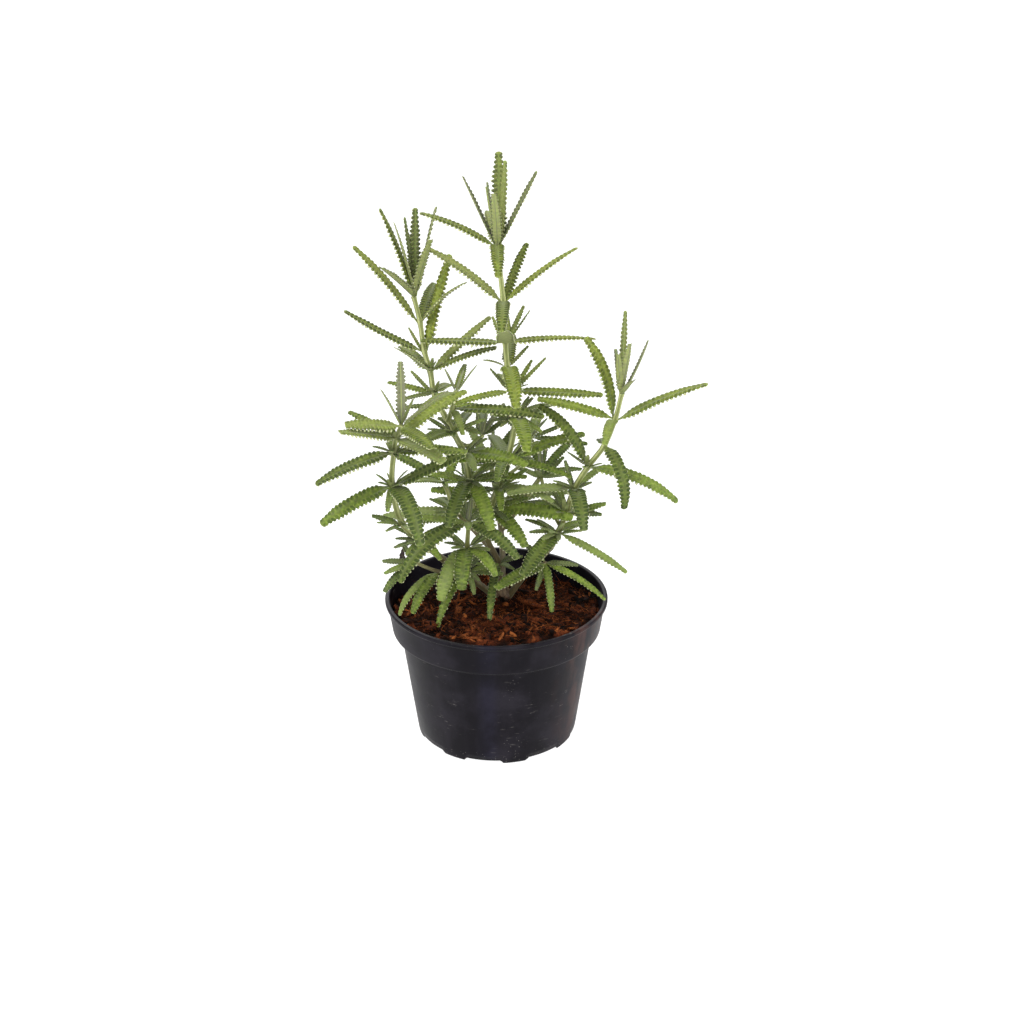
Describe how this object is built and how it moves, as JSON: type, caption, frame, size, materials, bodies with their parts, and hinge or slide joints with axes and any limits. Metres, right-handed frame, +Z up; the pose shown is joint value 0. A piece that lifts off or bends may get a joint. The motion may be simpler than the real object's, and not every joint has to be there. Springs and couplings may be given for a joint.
{
  "type": "potted fringed lavender",
  "caption": "Young fringed lavender with toothed leaves on several stems, growing in coir mix in a round plastic nursery pot.",
  "frame": {"origin": "centre of the pot's flat underside, on the surface it stands on", "axes": "+Z up along the pot's axis, -Y towards the plant's front, +X to the right of the front"},
  "size_m": [0.198, 0.1601, 0.318],
  "materials": {
    "pot": "dark grey moulded polypropylene, satin",
    "mix": "damp reddish-brown coir fibre and chips, rough",
    "crown": "thin young bark",
    "stem": "pale green ribbed stem with fine down",
    "leaf": "soft green leaf, quilted above and paler below, satin"
  },
  "bodies": {
    "root": {"nursery_pot": "pot", "potting_mix": "mix", "root_crown": "crown", "leader_leaves_1": "leaf", "leader_leaves_3": "leaf", "leader_leaves_4": "leaf", "leader_leaves_5": "leaf", "leader_leaves_6": "leaf", "leader_leaves_7": "leaf", "leader_leaves_8": "leaf", "leader_leaves_9": "leaf", "leader_leaves_10": "leaf", "leader_leaves_11": "leaf", "leader": "stem", "left_stem_leaves_2": "leaf", "left_stem_leaves_3": "leaf", "left_stem_leaves_4": "leaf", "left_stem_leaves_5": "leaf", "left_stem_leaves_6": "leaf", "left_stem_leaves_7": "leaf", "left_stem_leaves_8": "leaf", "left_stem_leaves_9": "leaf", "left_stem": "stem", "inner_stem_leaves_1": "leaf", "inner_stem_leaves_2": "leaf", "inner_stem": "stem", "front_left_stem_leaves_3": "leaf", "front_left_stem_leaves_4": "leaf", "front_left_stem_leaves_5": "leaf", "front_left_stem_leaves_6": "leaf", "front_left_stem_leaves_7": "leaf", "front_left_stem_leaves_8": "leaf", "front_left_stem": "stem", "right_stem_leaves_3": "leaf", "right_stem_leaves_4": "leaf", "right_stem_leaves_5": "leaf", "right_stem_leaves_6": "leaf", "right_stem_leaves_7": "leaf", "right_stem_leaves_8": "leaf", "right_stem_leaves_9": "leaf", "right_stem": "stem", "front_stem_leaves_1": "leaf", "front_stem_leaves_2": "leaf", "front_stem_leaves_3": "leaf", "front_stem": "stem", "back_stem_leaves_2": "leaf", "back_stem_leaves_3": "leaf", "back_stem": "stem", "back_left_stem_leaves_2": "leaf", "back_left_stem_leaves_3": "leaf", "back_left_stem": "stem", "back_right_stem_leaves_1": "leaf", "back_right_stem_leaves_2": "leaf", "back_right_stem": "stem", "low_left_sprig": "leaf", "low_right_sprig": "leaf", "back_sprig": "leaf", "inner_sprig": "leaf", "right_sprig": "leaf"}
  },
  "joints": []
}
